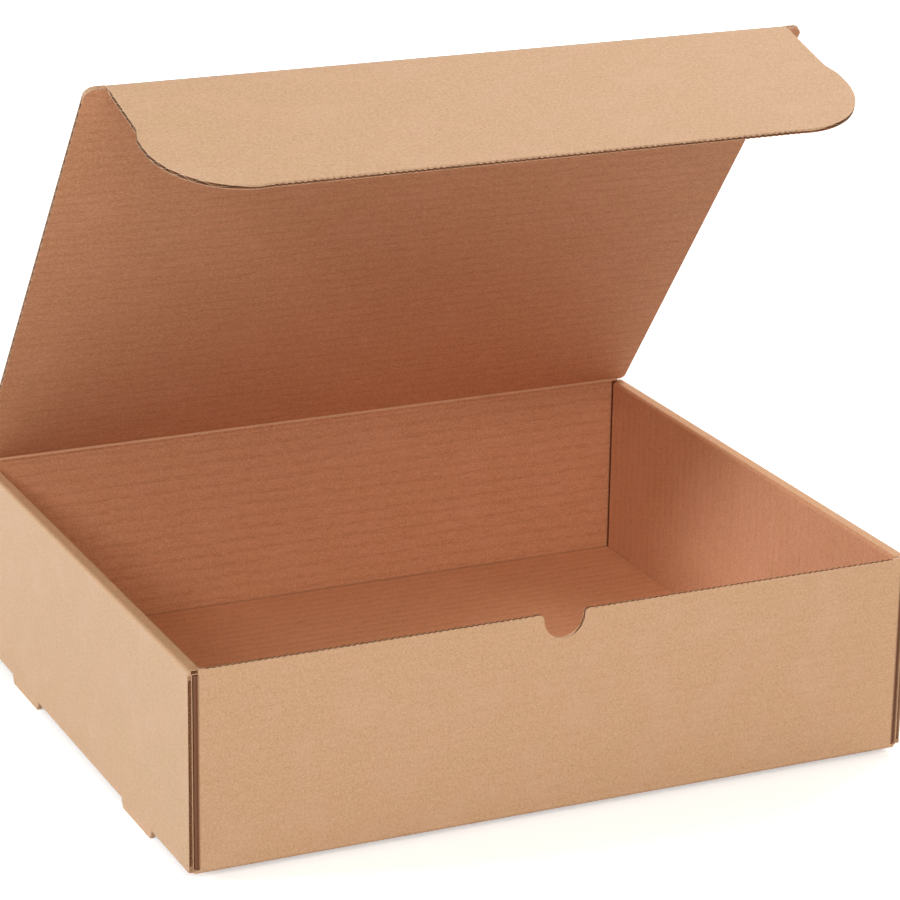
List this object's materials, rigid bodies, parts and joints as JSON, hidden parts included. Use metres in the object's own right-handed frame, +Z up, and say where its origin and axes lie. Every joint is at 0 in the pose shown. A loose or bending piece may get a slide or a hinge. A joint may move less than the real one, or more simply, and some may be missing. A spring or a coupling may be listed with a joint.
{
  "type": "corrugated mailer box",
  "caption": "Shallow one-piece corrugated box with rolled double side walls, a hinged lid and a tuck flap with rounded ears, lid half open.",
  "frame": {"origin": "middle of the underside of the tray's base", "axes": "+Z up, -Y towards the front wall with the thumb notch, +X to the right as seen from the front"},
  "size_m": [0.369, 0.3, 0.3362],
  "materials": {
    "kraft_board": "uncoated brown kraft, matt"
  },
  "bodies": {
    "tray": {"tray": "kraft_board"},
    "lid": {"lid": "kraft_board"},
    "tuck_flap": {"tuck_flap": "kraft_board"}
  },
  "joints": [
    {"name": "lid_hinge", "type": "hinge", "parent": "tray", "child": "lid", "pos_m": [0, 0.14885, 0.10045], "axis": [1, 0, 0], "range_deg": [-127, 53]},
    {"name": "flap_hinge", "type": "hinge", "parent": "lid", "child": "tuck_flap", "pos_m": [0, -0.02567, 0.33205], "axis": [1, 0, 0], "range_deg": [-106, 44.2]}
  ],
  "couplings": [
    {"joint": "flap_hinge", "follows": "lid_hinge", "ratio": 0.83}
  ]
}
